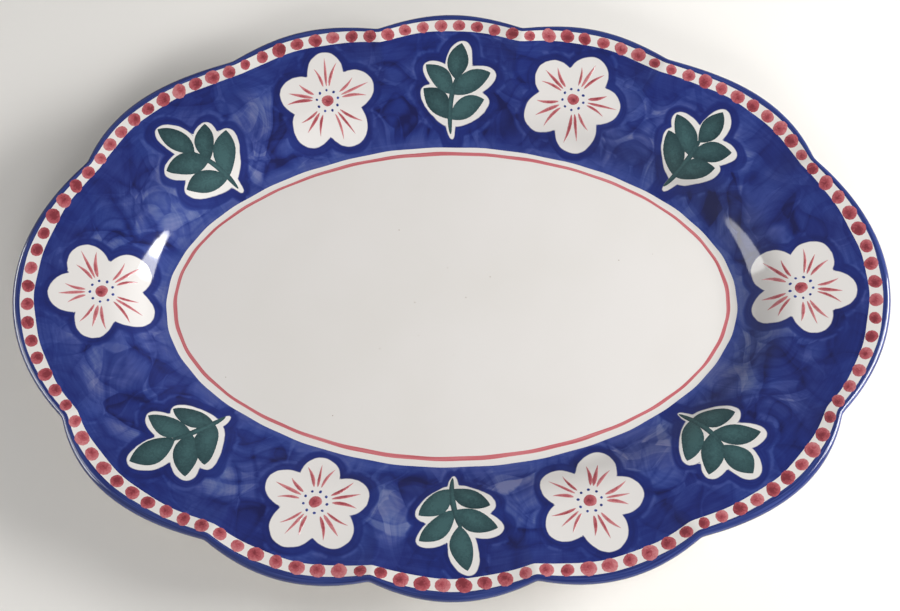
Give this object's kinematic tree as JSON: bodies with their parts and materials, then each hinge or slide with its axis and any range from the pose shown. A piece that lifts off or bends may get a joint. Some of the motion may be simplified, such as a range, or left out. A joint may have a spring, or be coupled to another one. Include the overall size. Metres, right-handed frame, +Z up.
{
  "type": "oval serving platter",
  "caption": "Oval earthenware platter with a scalloped, sloping painted rim, a flat pale well and a low foot ring; it stands on the foot and holds food in the well.",
  "frame": {"origin": "on the table under the middle of the foot ring", "axes": "+X along the platter's length, +Y across its width, +Z up out of the well"},
  "size_m": [0.5098, 0.3678, 0.0393],
  "materials": {
    "fired_clay": "bare biscuit",
    "white_glaze": "gloss",
    "blue_glaze": "brushed gloss",
    "red_glaze": "brushed gloss",
    "green_glaze": "brushed gloss"
  },
  "bodies": {
    "root": {"clay_body": "fired_clay", "foot_ring": "fired_clay", "well_glaze": "white_glaze", "well_line": "red_glaze", "well_margin": "white_glaze", "rim_ground": "blue_glaze", "rim_border": "white_glaze", "lip_band": "blue_glaze", "back_glaze": "white_glaze", "base_glaze": "white_glaze"}
  },
  "joints": []
}
